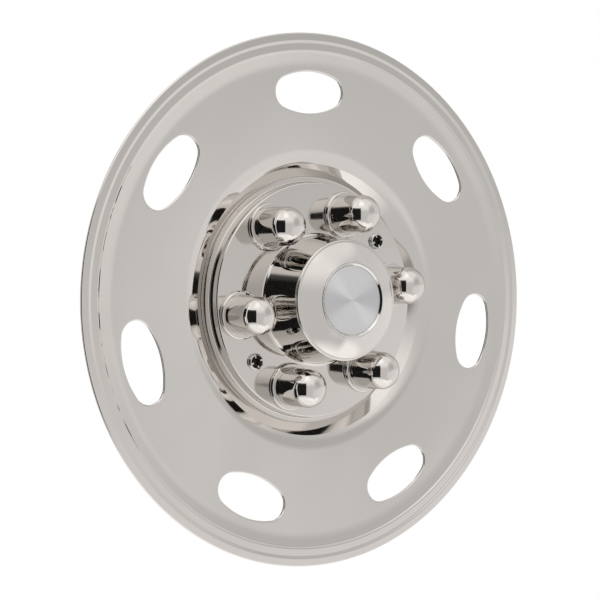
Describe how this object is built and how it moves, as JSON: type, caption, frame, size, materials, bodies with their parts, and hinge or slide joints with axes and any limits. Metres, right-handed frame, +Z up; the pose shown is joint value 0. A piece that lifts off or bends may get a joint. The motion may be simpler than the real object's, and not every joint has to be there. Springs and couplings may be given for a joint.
{
  "type": "wheel simulator",
  "caption": "Polished steel wheel simulator: a dished cover with oval hand holes, a raised hub with a domed centre cap, round-ended lug covers and screws to brackets behind.",
  "frame": {"origin": "on the wheel axis, in the plane where the two mounting brackets seat on the wheel's studs", "axes": "the front faces -Y along the wheel's axis, +Z is up, +X is to the right seen from the front"},
  "size_m": [0.4029, 0.0651, 0.403],
  "materials": {
    "polished_steel": "mirror polished stainless steel",
    "brushed_disc": "spun brushed",
    "bright_trim": "bright plated",
    "zinc_plate": "satin zinc plate"
  },
  "bodies": {
    "root": {"wheel_liner": "polished_steel", "hub_cover": "polished_steel", "lug_cover_1": "polished_steel", "lug_cover_2": "polished_steel", "lug_cover_3": "polished_steel", "lug_cover_4": "polished_steel", "lug_cover_5": "polished_steel", "lug_cover_6": "polished_steel", "center_cap": "polished_steel", "medallion_bezel": "bright_trim", "cap_medallion": "brushed_disc", "cover_screw_upper": "bright_trim", "cover_screw_lower": "bright_trim", "bracket_upper": "zinc_plate", "bracket_lower": "zinc_plate", "weld_nut_upper": "zinc_plate", "weld_nut_lower": "zinc_plate"}
  },
  "joints": []
}
